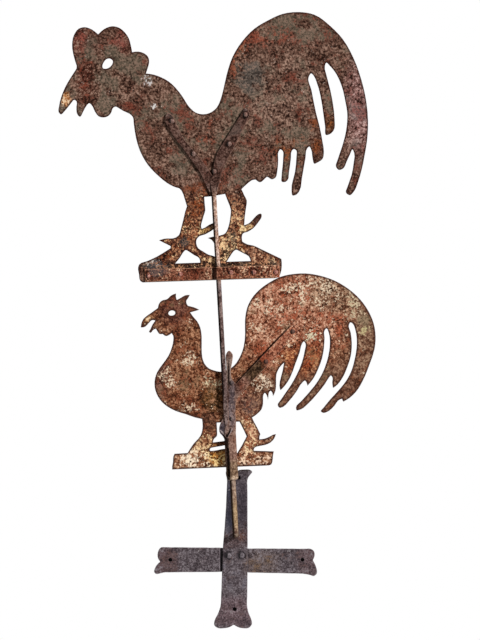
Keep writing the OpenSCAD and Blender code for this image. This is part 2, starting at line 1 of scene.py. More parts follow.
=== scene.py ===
# %% [markdown]
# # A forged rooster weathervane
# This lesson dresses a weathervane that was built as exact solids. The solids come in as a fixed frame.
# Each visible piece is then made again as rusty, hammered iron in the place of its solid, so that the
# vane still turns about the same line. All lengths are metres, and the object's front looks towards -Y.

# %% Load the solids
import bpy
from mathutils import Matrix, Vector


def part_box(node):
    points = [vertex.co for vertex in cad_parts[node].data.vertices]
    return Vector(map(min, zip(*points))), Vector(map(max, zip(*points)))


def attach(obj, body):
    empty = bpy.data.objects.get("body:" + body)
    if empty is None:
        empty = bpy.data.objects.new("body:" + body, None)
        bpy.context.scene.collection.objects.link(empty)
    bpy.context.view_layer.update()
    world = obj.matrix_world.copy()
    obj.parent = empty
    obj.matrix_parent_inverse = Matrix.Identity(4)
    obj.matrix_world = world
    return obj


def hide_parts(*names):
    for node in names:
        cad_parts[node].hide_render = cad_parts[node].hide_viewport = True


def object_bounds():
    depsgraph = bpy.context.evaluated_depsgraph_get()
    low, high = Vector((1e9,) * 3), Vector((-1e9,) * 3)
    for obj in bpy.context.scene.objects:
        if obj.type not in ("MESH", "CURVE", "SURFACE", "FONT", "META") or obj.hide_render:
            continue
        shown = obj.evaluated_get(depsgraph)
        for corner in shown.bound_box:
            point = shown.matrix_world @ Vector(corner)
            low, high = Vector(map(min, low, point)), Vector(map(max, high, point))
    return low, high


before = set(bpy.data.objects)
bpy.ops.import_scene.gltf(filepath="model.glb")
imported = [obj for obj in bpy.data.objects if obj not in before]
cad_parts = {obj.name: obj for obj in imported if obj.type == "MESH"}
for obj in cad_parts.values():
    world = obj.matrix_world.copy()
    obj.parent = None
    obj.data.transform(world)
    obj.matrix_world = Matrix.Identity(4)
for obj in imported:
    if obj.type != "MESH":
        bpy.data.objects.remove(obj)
cad_low, cad_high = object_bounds()
print("solid model from", [round(v, 4) for v in cad_low], "to", [round(v, 4) for v in cad_high])

# %% Modules and the millimetre
import math
import random

import bmesh
import bpy
import numpy as np
from mathutils import Matrix, Vector, kdtree, noise
from mathutils.bvhtree import BVHTree
from mathutils.geometry import delaunay_2d_cdt

MM = 0.001
DICE = random.Random(7)
scene = bpy.context.scene

# %% [markdown]
# ## Small helpers
# A finish is a tree of nodes. `put` adds one node, fills its sockets with values or links, and hands it
# back, so that a whole effect reads as a few lines. `shade` turns a colour as a picture editor shows
# it, 0 to 255, into the linear light that Blender mixes.

# %% Colours and objects


def shade(red, green, blue):
    """A picture editor's colour as linear light, with full opacity."""
    return tuple(((v / 255 + 0.055) / 1.055) ** 2.4 if v > 10 else v / 255 / 12.92
                 for v in (red, green, blue)) + (1.0,)


def add(name, data):
    """New data as an object of the scene, at the origin."""
    made = bpy.data.objects.new(name, data)
    scene.collection.objects.link(made)
    return made


def plain_finish(name, colour, roughness):
    """A finish of one colour."""
    made = bpy.data.materials.new(name)
    made.use_nodes = True
    shader = made.node_tree.nodes["Principled BSDF"]
    shader.inputs["Base Color"].default_value = colour
    shader.inputs["Roughness"].default_value = roughness
    return made


# %% Nodes


def fill(tree, socket, value):
    """Gives a socket a value, or a link from another node's output."""
    if isinstance(value, bpy.types.NodeSocket):
        tree.links.new(value, socket)
    else:
        socket.default_value = value


def put(tree, kind, sockets=None, **settings):
    """Adds a node, sets it and fills its sockets."""
    made = tree.nodes.new("ShaderNode" + kind)
    for name, value in settings.items():
        setattr(made, name, value)
    for name, value in (sockets or {}).items():
        fill(tree, made.inputs[name], value)
    return made


def sums(tree, how, first, second):
    """One step of arithmetic, and its output."""
    return put(tree, "Math", {0: first, 1: second}, operation=how).outputs[0]


def times(tree, first, second, plus=0.0):
    """first * second + plus."""
    return put(tree, "Math", {0: first, 1: second, 2: plus}, operation="MULTIPLY_ADD").outputs[0]


def blend(tree, share, first, second):
    """A colour between two others."""
    made = put(tree, "Mix", data_type="RGBA")
    for name, value in (("Factor_Float", share), ("A_Color", first), ("B_Color", second)):
        fill(tree, next(s for s in made.inputs if s.identifier == name), value)
    return next(s for s in made.outputs if s.identifier == "Result_Color")


def ramp(tree, value, low, high, to_low=0.0, to_high=1.0):
    """A value stretched from low..high to another span, with soft ends."""
    return put(tree, "MapRange", {"Value": value, "From Min": low, "From Max": high,
                                  "To Min": to_low, "To Max": to_high},
               interpolation_type="SMOOTHSTEP").outputs["Result"]


def clouds(tree, place, size, detail, rough, seed):
    """Noise whose lumps are about that size in metres, from 0 to 1."""
    moved = put(tree, "VectorMath", {0: place, 1: (seed, seed * 1.7, seed * 0.6)}, operation="ADD")
    return put(tree, "TexNoise", {"Vector": moved.outputs[0], "Scale": 1 / size, "Detail": detail,
                                  "Roughness": rough}).outputs["Fac"]


# %% Node groups


KINDS = {type(None): "Vector", float: "Float", tuple: "Color"}


def start_group(name, inputs, outputs):
    """An empty node group, and its inner sockets. An input is None for a vector, a number or a colour."""
    group = bpy.data.node_groups.new(name, "ShaderNodeTree")
    for label, value in inputs.items():
        kind = "NodeSocket" + KINDS[type(value)]
        made = group.interface.new_socket(label, in_out="INPUT", socket_type=kind)
        if value is not None:
            made.default_value = value
    for label, kind in outputs.items():
        group.interface.new_socket(label, in_out="OUTPUT", socket_type="NodeSocket" + kind)
    inner = group.nodes.new("NodeGroupInput")
    outer = group.nodes.new("NodeGroupOutput")
    return group, inner.outputs, outer.inputs


def use(tree, group, **sockets):
    """Places a node group in a tree. Spaces in its socket names are written as underscores."""
    made = tree.nodes.new("ShaderNodeGroup")
    made.node_tree = group
    for name, value in sockets.items():
        fill(tree, made.inputs[name.replace("_", " ")], value)
    return made.outputs


# %% [markdown]
# ## Camera
# The photograph looks straight at the front from far away, because both roosters, the rod and the
# bracket show no side faces. A long lens from 12 m gives the same flat view. One pixel of the
# photograph is 1.6 mm on the object, and its pixel (235, 560.5) is the middle of the bracket. That
# pair of facts is all that is needed to put a mark on the iron where the photograph shows it.

# %% From the photograph's pixels to the object's front
PIXEL = 1.6 * MM
BRACKET_PIXEL = (235, 560.5)
PICTURE = (480, 640)


def spot(px, py):
    """Where a pixel of the photograph lies on the front: (x, z) in metres."""
    return (px - BRACKET_PIXEL[0]) * PIXEL, (BRACKET_PIXEL[1] - py) * PIXEL


# %% Camera
CAMERA_AWAY = 12.0
SHEET_DEPTH = 0.024
SENSOR = 24
centre_x, centre_z = spot(PICTURE[0] / 2, PICTURE[1] / 2)
view = bpy.data.cameras.new("camera")
view.sensor_fit = "VERTICAL"
view.sensor_height = SENSOR
view.lens = SENSOR / 2 * (CAMERA_AWAY - SHEET_DEPTH) / (PICTURE[1] / 2 * PIXEL)
camera = add("camera", view)
camera.location = (centre_x, -CAMERA_AWAY, centre_z)
camera.rotation_euler = (math.radians(90), 0, 0)
scene.camera = camera
scene.view_settings.view_transform = "Standard"
print("lens", round(view.lens, 1), "mm from", CAMERA_AWAY, "m")

# %% [markdown]
# ## Light
# Every rod and arm in the photograph has a thin dark shadow on its left side, so the main light stands
# to the right of the camera and a little above. A sun lamp with a wide disc gives that soft edge. The
# rest comes from an even sky. Camera and mirror rays see pure white instead of that sky, which gives
# the photograph's white background without any more light on the iron. A weaker, softer sun behind the
# vane lights its back, and leaves the front as it is.

# %% Suns


def add_sun(name, side, up, power, softness):
    """A sun lamp. All three angles are degrees, and side 0 is straight in front."""
    sun = bpy.data.lights.new(name, "SUN")
    sun.energy = power
    sun.angle = math.radians(softness)
    add(name, sun).rotation_euler = (math.radians(90 - up), 0, math.radians(side))
    print(name, "from", side, "degrees to the side and", up, "up")


add_sun("key_light", side=44, up=24, power=3.35, softness=9)
add_sun("back_light", side=165, up=30, power=1.7, softness=30)

# %% Sky
SKY = 0.22
world = bpy.data.worlds.new("sky")
scene.world = world
world.use_nodes = True
sky_tree = world.node_tree
sky_tree.nodes.clear()
rays = put(sky_tree, "LightPath").outputs
seen = sums(sky_tree, "MAXIMUM", rays["Is Camera Ray"], rays["Is Glossy Ray"])
seen_or_clear = sums(sky_tree, "MAXIMUM", seen, rays["Is Transmission Ray"])
soft_sky = put(sky_tree, "Background", {"Color": (SKY, SKY, SKY, 1)}).outputs[0]
white_sky = put(sky_tree, "Background", {"Color": (1, 1, 1, 1)}).outputs[0]
choose = put(sky_tree, "MixShader", {0: seen_or_clear, 1: soft_sky, 2: white_sky})
put(sky_tree, "OutputWorld", {"Surface": choose.outputs[0]})
print("the sky's light is", SKY, "and its picture is white")

# %% [markdown]
# ## Ground
# The bracket hangs on a wall or a post, so the ground lies some way below its foot, out of the
# photograph's frame. A round disc keeps its edge away from the picture's straight borders.

# %% Ground disc
GROUND_BELOW = 0.19
GROUND_REACH = 1.4
PALE = (0.70, 0.70, 0.70, 1)


def add_discs(name, middles, radius, segments, finish):
    """Backdrop discs, each at the place that its matrix gives."""
    mesh = bmesh.new()
    for middle in middles:
        bmesh.ops.create_circle(mesh, cap_ends=True, segments=segments, radius=radius, matrix=middle)
    data = bpy.data.meshes.new(name)
    mesh.to_mesh(data)
    mesh.free()
    data.materials.append(finish)
    add(name, data)


ground_z = cad_low.z - GROUND_BELOW
add_discs("ground", [Matrix.Translation((0, 0, ground_z))], GROUND_REACH, segments=96,
          finish=plain_finish("pale_ground", PALE, roughness=0.9))
print("ground at z =", round(ground_z, 3))

# %% [markdown]
# ## Painted shade in the nail holes
# The white background was cut out round the iron, and the four nail holes stayed dark, since the wall
# behind them lies in shade. A dark disc behind each hole, on the wall's side, is that shade painted on.
# The discs are backdrop and no part of the object.

# %% Painted shade behind the nail holes
NAIL_HOLES = ((-104, 0.5), (108, 0.5), (5.6, 132), (-0.6, -78.7))
NAIL_PATCH = 4.2 * MM
WALL_GAP = 0.6 * MM
upright_disc = Matrix.Rotation(math.radians(90), 4, "X")
# Painted shade: a dark disc behind each hole stands in for the wall in the bracket's shadow.
add_discs("painted_shade_in_holes", [Matrix.Translation((x * MM, WALL_GAP, z * MM)) @ upright_disc
                            for x, z in NAIL_HOLES],
          NAIL_PATCH, segments=32,
          finish=plain_finish("painted_wall_shade", shade(30, 22, 22), roughness=1.0))
print(len(NAIL_HOLES), "nail holes are dark")

# %% [markdown]
# ## The iron's skin
# Old sheet iron is never one colour. Under a lens it is a dark crust with lighter worn grains between
# the pits, red-brown bloom in patches, and in places flecks of an old cream coat. All of these are
# noise at different sizes, so one group mixes them from named colours. Cooled, Rusted and Flecks are
# the shares of the surface that they cover. The same noise gives the height, so a dark pit is also a
# real dent in the light.

# %% Group: a patchy, speckled rust skin
skin, inside, outside = start_group(
    "rust_skin",
    {"Place": None, "Grain": 0.0045, "Dark": shade(60, 40, 30), "Body": shade(100, 75, 64),
     "Pale": shade(140, 112, 98), "Cool": shade(92, 84, 76), "Cooled": 0.3, "Rust": shade(125, 65, 40),
     "Rusted": 0.4, "Fleck": shade(225, 195, 165), "Flecks": 0.1, "Pits": 0.85},
    {"Color": "Color", "Height": "Float", "Roughness": "Float"})


def share_mask(tree, level, share, width, spread):
    """Where a noise is high enough to cover that share of the surface."""
    start = times(tree, share, -2 * spread, 0.5 + spread)
    return ramp(tree, level, start, sums(tree, "ADD", start, width))


# %% The grain: three tones of crust, from dark pits to worn tops
place = inside["Place"]
grain_scale = sums(skin, "DIVIDE", 1.0, inside["Grain"])
fine = put(skin, "TexNoise", {"Vector": place, "Scale": grain_scale, "Detail": 3.0,
                              "Roughness": 0.75}).outputs["Fac"]
middle = clouds(skin, place, 0.013, 3.0, 0.65, 3.1)
wide = clouds(skin, place, 0.040, 2.0, 0.55, 8.3)
tone = times(skin, fine, 0.60, times(skin, middle, 0.28, times(skin, wide, 0.12)))
to_body = ramp(skin, tone, 0.42, 0.49)
to_pale = ramp(skin, tone, 0.50, 0.575)
crust = blend(skin, to_pale, blend(skin, to_body, inside["Dark"], inside["Body"]), inside["Pale"])

# %% Cool patches, a hand wide, where the iron is greyer
cool_level = times(skin, middle, 0.35, times(skin, wide, 0.65))
cool_mask = share_mask(skin, cool_level, inside["Cooled"], 0.08, spread=0.12)
cool_dark = blend(skin, 0.35, inside["Dark"], inside["Cool"])
cool_pale = blend(skin, 0.40, inside["Cool"], inside["Pale"])
cool_crust = blend(skin, to_pale, blend(skin, to_body, cool_dark, inside["Cool"]), cool_pale)
cooled = blend(skin, times(skin, cool_mask, 0.8), crust, cool_crust)

# %% Rust's bloom: speckled patches in two strengths of red
bloom = clouds(skin, place, 0.012, 3.0, 0.7, 17.9)
drift = clouds(skin, place, 0.033, 2.0, 0.6, 23.4)
bloom_level = times(skin, fine, 0.30, times(skin, bloom, 0.38, times(skin, drift, 0.32)))
rust_mask = share_mask(skin, bloom_level, inside["Rusted"], 0.075, spread=0.10)
rust_grain = clouds(skin, place, 0.0034, 3.0, 0.75, 55.2)
rust_deep = blend(skin, 0.30, inside["Dark"], inside["Rust"])
rust_crust = blend(skin, ramp(skin, rust_grain, 0.42, 0.56), rust_deep, inside["Rust"])
with_rust = blend(skin, times(skin, rust_mask, 0.80), cooled, rust_crust)

# %% Flecks of the old coat: small and sharp-edged, gathered in drifts
fleck_grain = clouds(skin, place, 0.0036, 3.0, 0.75, 31.7)
fleck_drift = clouds(skin, place, 0.018, 2.0, 0.6, 44.4)
fleck_level = times(skin, fleck_grain, 0.62, times(skin, fleck_drift, 0.38))
fleck_mask = share_mask(skin, fleck_level, inside["Flecks"], 0.045, spread=0.13)
flecked = blend(skin, fleck_mask, with_rust, inside["Fleck"])

# %% Black pits, small and scattered, which go through every layer
pit_noise = clouds(skin, place, 0.0031, 2.0, 0.6, 71.3)
pit_mask = times(skin, ramp(skin, pit_noise, 0.59, 0.66), inside["Pits"])
pit_colour = blend(skin, 0.55, (0.0, 0.0, 0.0, 1.0), inside["Dark"])
skin.links.new(blend(skin, pit_mask, flecked, pit_colour), outside["Color"])

# %% Height in metres: dark grains are pits, and a fleck stands proud
GRAIN_RISE, BLOOM_RISE, FLECK_RISE, PIT_RISE = 0.30 * MM, 0.10 * MM, 0.08 * MM, -0.25 * MM
risen = times(skin, ramp(skin, tone, 0.36, 0.60), GRAIN_RISE)
for mask, rise in ((rust_mask, BLOOM_RISE), (fleck_mask, FLECK_RISE), (pit_mask, PIT_RISE)):
    risen = times(skin, mask, rise, risen)
skin.links.new(risen, outside["Height"])
skin.links.new(ramp(skin, tone, 0.35, 0.65, 0.92, 0.74), outside["Roughness"])
print("rust_skin has", len(skin.nodes), "nodes")

# %% [markdown]
# ## Marks in one place
# Some marks are seen in one place only: a golden beak, a salmon tail, a rust stain below a rivet, and
# some painted shade. Each is a soft ellipse with a ragged edge. The raggedness comes from a place that
# was shaken by noise once and is then shared by all ellipses, which keeps many marks cheap. A few marks,
# such as the ring of dirt and painted shadow round a rivet, need a clean edge instead and use the place
# as it is.

# %% Groups: a shaken place, and a soft ellipse
shaken, inside, outside = start_group(
    "shaken_place", {"Place": None, "Reach": 0.02}, {"Place": "Vector"})
shake = put(shaken, "TexNoise", {"Vector": inside["Place"], "Scale": 75.0, "Detail": 4.0,
                                 "Roughness": 0.7})
centred = put(shaken, "VectorMath", {0: shake.outputs["Color"], 1: (0.5, 0.5, 0.5)},
              operation="SUBTRACT")
scaled = put(shaken, "VectorMath", {0: centred.outputs[0], "Scale": inside["Reach"]},
             operation="SCALE")
moved = put(shaken, "VectorMath", {0: inside["Place"], 1: scaled.outputs[0]}, operation="ADD")
shaken.links.new(moved.outputs[0], outside["Place"])

patch, inside, outside = start_group(
    "patch", {"Place": None, "Middle": None, "Stretch": None, "Core": 0.5, "Edge": 1.5},
    {"Mask": "Float"})
away = put(patch, "VectorMath", {0: inside["Place"], 1: inside["Middle"]}, operation="SUBTRACT")
stretched = put(patch, "VectorMath", {0: away.outputs[0], 1: inside["Stretch"]}, operation="MULTIPLY")
reach = put(patch, "VectorMath", {0: stretched.outputs[0]}, operation="LENGTH").outputs["Value"]
patch.links.new(ramp(patch, reach, inside["Core"], inside["Edge"], 1.0, 0.0), outside["Mask"])
print("patch has", len(patch.nodes), "nodes, so that many marks stay cheap")

# %% [markdown]
# ## The rim
# A sheet that was cut with a chisel has a rounded rim, and its material is darker along that rim. Each
# sheet's mesh carries the distance to its rim as an attribute named `rim`, so the material can darken a
# band of three or four millimetres that follows every curve.

# %% Group: dark rim
rim, inside, outside = start_group(
    "dark_rim", {"Place": None, "Distance": 0.01, "Width": 0.002}, {"Mask": "Float"})
rim_noise = clouds(rim, inside["Place"], 0.006, 3.0, 0.6, 5.5)
rim_width = times(rim, inside["Width"], ramp(rim, rim_noise, 0.3, 0.7, 0.55, 1.5))
rim_share = sums(rim, "DIVIDE", inside["Distance"], rim_width)
rim.links.new(ramp(rim, rim_share, 0.25, 1.0, 1.0, 0.0), outside["Mask"])

# %% [markdown]
# ## Worn edges, grimy hollows and painted shade on one side
# A forged bar is rubbed bright along its edges and keeps its dirt in the hollows. Each forged mesh
# carries how sharply its metal turns as an attribute named `bend`, one for a turn of a millimetre's
# radius. The side that looks away from the sun, to the left, gets painted shade that is nearly black.
# That side comes from the piece's own normal, so the painted shade turns along with the vane.

# %% Groups: edge wear, and painted shade on one side
wear, inside, outside = start_group(
    "edge_wear", {"Place": None, "Bend": 0.0}, {"Worn": "Float", "Grime": "Float"})
wear_noise = clouds(wear, inside["Place"], 0.005, 3.0, 0.65, 12.7)
uneven = times(wear, wear_noise, 0.36, -0.18)
wear.links.new(ramp(wear, sums(wear, "ADD", inside["Bend"], uneven), 0.20, 0.48), outside["Worn"])
wear.links.new(ramp(wear, times(wear, inside["Bend"], -1.0, uneven), 0.02, 0.22), outside["Grime"])

# Painted shade: faces whose normal points left, away from the sun, are darkened.
lee, inside, outside = start_group(
    "painted_side_shade", {"Place": None, "Normal": None}, {"Mask": "Float"})
facing = put(lee, "SeparateXYZ", {0: inside["Normal"]}).outputs["X"]
lee_noise = clouds(lee, inside["Place"], 0.007, 3.0, 0.6, 27.4)
to_lee = times(lee, lee_noise, 0.5, times(lee, facing, -1.0, -0.25))
lee.links.new(ramp(lee, to_lee, 0.16, 0.52), outside["Mask"])

# %% [markdown]
# ## A recipe for one material
# Each iron gets its own material from the groups above: a skin, zones that change the skin's colours
# in one place, some of them painted shade, for the sheets a dark rim, and for the bars worn edges and
# painted shade on the side away from the sun. The shader stays in the material, with its plain numbers
# on its own sockets.

# %% Zones
SHADOW_LEFT = 0.8
NO_FLECKS = -0.3


def tints(values):
    """Skin values whose colours, written as a picture editor shows them, are made linear."""
    return {name: shade(*value) if isinstance(value, tuple) else value
            for name, value in values.items()}


def zone(pixel, reach, softness=0.6, turn=0, **changes):
    """Where the skin changes: a pixel, its reach in pixels, its turn in degrees, and the changes."""
    return pixel, reach, softness, turn, tints(changes)


def dirt_and_shadow_rings(middles, reach, softness, **changes):
    """Dirt and painted shadow round rivets, set a little to their left where the shadow falls."""
    return [zone((x - SHADOW_LEFT, y), (reach, reach), softness, **changes) for x, y in middles]


# %% Material recipe
WORN_STRENGTH = 0.7
GRIME_STRENGTH = 0.8
FRONT_FROM, FRONT_FULL = -0.3, -0.6


def zone_mask(tree, where, pixel, reach, softness, turn):
    """Where one zone lies, from 0 to 1."""
    x, z = spot(*pixel)
    if turn:
        where = put(tree, "VectorRotate", {"Vector": where, "Center": (x, 0, z),
                                           "Angle": math.radians(turn)},
                    rotation_type="Y_AXIS").outputs[0]
    stretch = (1 / (reach[0] * PIXEL), 0, 1 / (reach[1] * PIXEL))
    return use(tree, patch, Place=where, Middle=(x, 0, z), Stretch=stretch,
               Core=1 - softness, Edge=1 + softness)["Mask"]


def iron(name, zones=(), crisp=(), rim_width=0.0, rim_colour=None, worn=None, grime_and_side_shade=None,
         side_shade=0.0, shine=0.05, **skin_values):
    """A material of rusty iron. A crisp zone has a clean edge and marks the front alone."""
    made = bpy.data.materials.new(name)
    made.use_nodes = True
    tree = made.node_tree
    shader = tree.nodes["Principled BSDF"]
    spots = put(tree, "TexCoord").outputs
    place, normal = spots["Object"], spots["Normal"]
    ragged = use(tree, shaken, Place=place)["Place"]
    facing_y = put(tree, "SeparateXYZ", {0: normal}).outputs["Y"]
    in_front = ramp(tree, facing_y, FRONT_FULL, FRONT_FROM, 1.0, 0.0)
    values = tints(skin_values)
    for index, (*shape, changes) in enumerate((*zones, *crisp)):
        clean = index >= len(zones)
        mask = zone_mask(tree, place if clean else ragged, *shape)
        if clean:
            mask = times(tree, mask, in_front)
        for socket, value in changes.items():
            if isinstance(value, tuple):
                values[socket] = blend(tree, mask, values[socket], value)
            else:
                step = sums(tree, "SUBTRACT", value, values[socket])
                values[socket] = times(tree, mask, step, values[socket])
    look = use(tree, skin, Place=place, **values)
    colour = look["Color"]
    if rim_width:
        near = put(tree, "Attribute", attribute_name="rim").outputs["Fac"]
        edge = use(tree, rim, Place=place, Distance=near, Width=rim_width)["Mask"]
        colour = blend(tree, edge, colour, shade(*rim_colour))
    if worn:
        turning = put(tree, "Attribute", attribute_name="bend").outputs["Fac"]
        edges = use(tree, wear, Place=place, Bend=turning)
        colour = blend(tree, times(tree, edges["Worn"], WORN_STRENGTH), colour, shade(*worn))
        colour = blend(tree, times(tree, edges["Grime"], GRIME_STRENGTH), colour, shade(*grime_and_side_shade))
    # Painted shade on the side away from the sun, in the same dark colour as the grime in the hollows.
    if side_shade:
        side_shade_mask = use(tree, lee, Place=place, Normal=normal)["Mask"]
        colour = blend(tree, times(tree, side_shade_mask, side_shade), colour, shade(*grime_and_side_shade))
    fill(tree, shader.inputs["Base Color"], colour)
    fill(tree, shader.inputs["Roughness"], look["Roughness"])
    dents = put(tree, "Bump", {"Height": look["Height"], "Strength": 1.0, "Distance": 1.0})
    fill(tree, shader.inputs["Normal"], dents.outputs["Normal"])
    shader.inputs["Specular IOR Level"].default_value = shine
    print(name, "has", len(zones), "ragged and", len(crisp), "crisp zones")
    return made


# %% [markdown]
# ## Cutting a sheet again
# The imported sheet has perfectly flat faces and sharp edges. Three ways could make it real: a bevel with
# a displacement, a voxel remesh, or a new mesh between the same outlines. A remesh fine enough for a
# clean outline would need millions of faces, so the sheet is made again: its outlines are read from the
# solid, points are spread over it, and a Delaunay triangulation joins them. Points at two small
# distances from the rim carry the round edge.

# %% Reading the outlines of a sheet
WELD = 0.002 * MM
FRONT_SKIN = 0.1 * MM
TO_THE_FRONT = -0.999


def whole_skin(node):
    """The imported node's mesh as one closed skin. The file splits it along every sharp edge."""
    mesh = bmesh.new()
    mesh.from_mesh(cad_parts[node].data)
    bmesh.ops.remove_doubles(mesh, verts=mesh.verts, dist=WELD)
    return mesh


def outlines(node):
    """The closed outlines of a sheet's front, metal on the left. A dict keeps the faces' order."""
    mesh = whole_skin(node)
    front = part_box(node)[0].y
    flat = dict.fromkeys(face for face in mesh.faces if face.normal.y < TO_THE_FRONT
                         and face.calc_center_median().y < front + FRONT_SKIN)
    follows = {}
    for face in flat:
        for loop in face.loops:
            if sum(other in flat for other in loop.edge.link_faces) == 1:
                follows[loop.vert] = loop.link_loop_next.vert
    found = []
    while follows:
        start, at = follows.popitem()
        line = [start]
        while at is not start:
            line.append(at)
            at = follows.pop(at)
        found.append(np.array([(v.co.x, v.co.z) for v in line]))
    mesh.free()
    return found


def enclosed(line):
    """The area inside a closed line, below zero for a hole."""
    ahead = np.roll(line, -1, axis=0)
    return 0.5 * float(np.sum(line[:, 0] * ahead[:, 1] - ahead[:, 0] * line[:, 1]))


# %% Spreading points over a sheet


def split_long(line, longest):
    """The same closed line with no stretch longer than that."""
    out = []
    for here, there in zip(line, np.roll(line, -1, axis=0)):
        steps = max(1, math.ceil(np.linalg.norm(there - here) / longest))
        out += [here + (there - here) * k / steps for k in range(steps)]
    return np.array(out)


def inward(line):
    """The direction into the metal at each point of a closed line."""
    along = np.roll(line, -1, axis=0) - np.roll(line, 1, axis=0)
    along /= np.linalg.norm(along, axis=1)[:, None]
    return np.stack([-along[:, 1], along[:, 0]], axis=1)


def in_holes(points, holes):
    """Which points lie in one of the closed lines."""
    inside_any = np.zeros(len(points), bool)
    for line in holes:
        odd = np.zeros(len(points), bool)
        for (x1, z1), (x2, z2) in zip(line, np.roll(line, -1, axis=0)):
            crosses = (z1 > points[:, 1]) != (z2 > points[:, 1])
            if crosses.any():
                at = x1 + (points[:, 1] - z1) / (z2 - z1) * (x2 - x1)
                odd ^= crosses & (points[:, 0] < at)
        inside_any |= odd
    return inside_any


# %% A sheet's net of triangles
OUTLINE_STEP = 2.0 * MM
FIELD_STEP = 2.4 * MM
FIELD_SHAKE = 0.3
RIM_CLEAR = 1.9 * MM
MEASURE_STEP = 0.25 * MM
EDGE_ROUND = 0.9 * MM
RIM_RINGS = (0.3 * MM, 0.9 * MM)
RIVET_HOLE = 20 * MM * MM


def sheet_points(lines, near):
    """Points along a sheet's outlines, in rings inside them and over its field, and the edges."""
    points, edges = [], []
    for line in lines:
        first = len(points)
        points += list(line)
        edges += [(first + k, first + (k + 1) % len(line)) for k in range(len(line))]
    for ring in RIM_RINGS:
        for line in lines:
            for x, z in line + inward(line) * ring:
                if near.find((x, z, 0))[2] > 0.9 * ring:
                    points.append((x, z))
    low, high = lines[-1].min(axis=0), lines[-1].max(axis=0)
    row_step = FIELD_STEP * math.sqrt(3) / 2
    for row in range(int((high[1] - low[1]) / row_step) + 1):
        z_row = low[1] + row * row_step
        for column in range(int((high[0] - low[0]) / FIELD_STEP) + 1):
            x = low[0] + (column + row % 2 / 2 + DICE.uniform(-FIELD_SHAKE, FIELD_SHAKE)) * FIELD_STEP
            z = z_row + DICE.uniform(-FIELD_SHAKE, FIELD_SHAKE) * FIELD_STEP
            if near.find((x, z, 0))[2] > RIM_CLEAR:
                points.append((x, z))
    return points, edges


def cut_sheet(node, waves):
    """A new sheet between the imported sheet's outlines, with round rims and hammered faces."""
    lines = [split_long(line, OUTLINE_STEP) for line in outlines(node)
             if abs(enclosed(line)) > RIVET_HOLE]
    lines.sort(key=enclosed)
    dense = np.concatenate([split_long(line, MEASURE_STEP) for line in lines])
    near = kdtree.KDTree(len(dense))
    for index, (x, z) in enumerate(dense):
        near.insert((x, z, 0), index)
    near.balance()
    points, edges = sheet_points(lines, near)
    flat, _, faces, _, _, _ = delaunay_2d_cdt([Vector(p) for p in points], edges, [], 2, 1e-7)
    flat = np.array([tuple(p) for p in flat])
    faces = np.array(faces)
    faces = faces[~in_holes(flat[faces].mean(axis=1), lines[:-1])]
    used = np.unique(faces)
    renumber = np.full(len(flat), -1)
    renumber[used] = np.arange(len(used))
    return close_sheet(node, flat[used], renumber[faces], near, waves)


# %% A sheet's two sides and its rim
DEEPEST_ROUND = 0.8 * MM
FADE_REACH = 6 * MM
RIM_WAVES = 0.25
SLOW_WAVES, QUICK_WAVES = 22, 75
FRONT_SEED, BACK_SEED = 1.0, 60.0


def hammered(x, z, seed):
    """The low waves that a hammer and the years leave in a sheet, from 0 to 1."""
    slow = noise.noise(Vector((x * SLOW_WAVES, seed, z * SLOW_WAVES)))
    quick = noise.noise(Vector((x * QUICK_WAVES, seed + 5.0, z * QUICK_WAVES)))
    return min(1.0, max(0.0, 0.5 + 0.62 * slow + 0.22 * quick))


def close_sheet(node, flat, faces, near, waves):
    """Gives a flat net of triangles its two hammered sides and its rim."""
    low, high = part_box(node)
    count = len(flat)
    rims = np.array([near.find((x, z, 0))[2] for x, z in flat])
    inner = np.minimum(rims, EDGE_ROUND)
    drop = EDGE_ROUND - np.sqrt(EDGE_ROUND ** 2 - (EDGE_ROUND - inner) ** 2)
    drop = np.minimum(drop, DEEPEST_ROUND)
    fade = np.clip(rims / FADE_REACH, RIM_WAVES, 1)
    front = low.y + waves * fade * [hammered(x, z, FRONT_SEED) for x, z in flat] + drop
    back = high.y - waves * fade * [hammered(x, z, BACK_SEED) for x, z in flat] - drop
    verts = [(x, y, z) for side in (front, back) for (x, z), y in zip(flat, side)]
    seen_edges = dict.fromkeys(e for a, b, c in faces for e in ((a, b), (b, c), (c, a)))
    polygons = [tuple(face) for face in faces]
    polygons += [(a + count, c + count, b + count) for a, b, c in faces]
    polygons += [(b, a, a + count, b + count) for a, b in seen_edges if (b, a) not in seen_edges]
    data = bpy.data.meshes.new(node + "_iron")
    data.from_pydata(verts, [], [tuple(int(v) for v in face) for face in polygons])
    data.attributes.new("rim", "FLOAT", "POINT").data.foreach_set("value", np.tile(rims, 2))
    data.shade_smooth()
    made = add(node + "_iron", data)
    print(made.name, len(data.vertices), "points,", len(data.polygons), "faces")
    return made


# %% [markdown]
# ## Forging the bars
# Straps, forks and the rod were drawn out hot under a hammer. Their edges are soft, and their faces
# hold the low facets of the blows. A voxel remesh turns the solid's long thin faces into an even net, a
# few rounds of smoothing soften the edges, and noise along the normals adds the blows. In the end each
# point that left the solid is put back just under its face, so that the bar still clears its
# neighbours.

# %% How sharply the metal turns


def edge_bend(data):
    """The turn at each point, times 1 mm: over zero on edges, below in hollows."""
    count = len(data.vertices)
    at, normal = np.empty(count * 3), np.empty(count * 3)
    data.vertices.foreach_get("co", at)
    data.vertices.foreach_get("normal", normal)
    at, normal = at.reshape(-1, 3), normal.reshape(-1, 3)
    ends = np.empty(len(data.edges) * 2, np.int32)
    data.edges.foreach_get("vertices", ends)
    one, other = ends.reshape(-1, 2).T
    gap = at[other] - at[one]
    turns = ((normal[other] - normal[one]) * gap).sum(axis=1) / (gap ** 2).sum(axis=1)
    share = np.bincount(one, minlength=count) + np.bincount(other, minlength=count)
    bend = (np.bincount(one, turns, count) + np.bincount(other, turns, count)) / share
    for _ in range(2):
        around = np.bincount(one, bend[other], count) + np.bincount(other, bend[one], count)
        bend = 0.5 * bend + 0.5 * around / share
    return bend * MM


# %% Forging
UNDER_FACE = 0.02 * MM


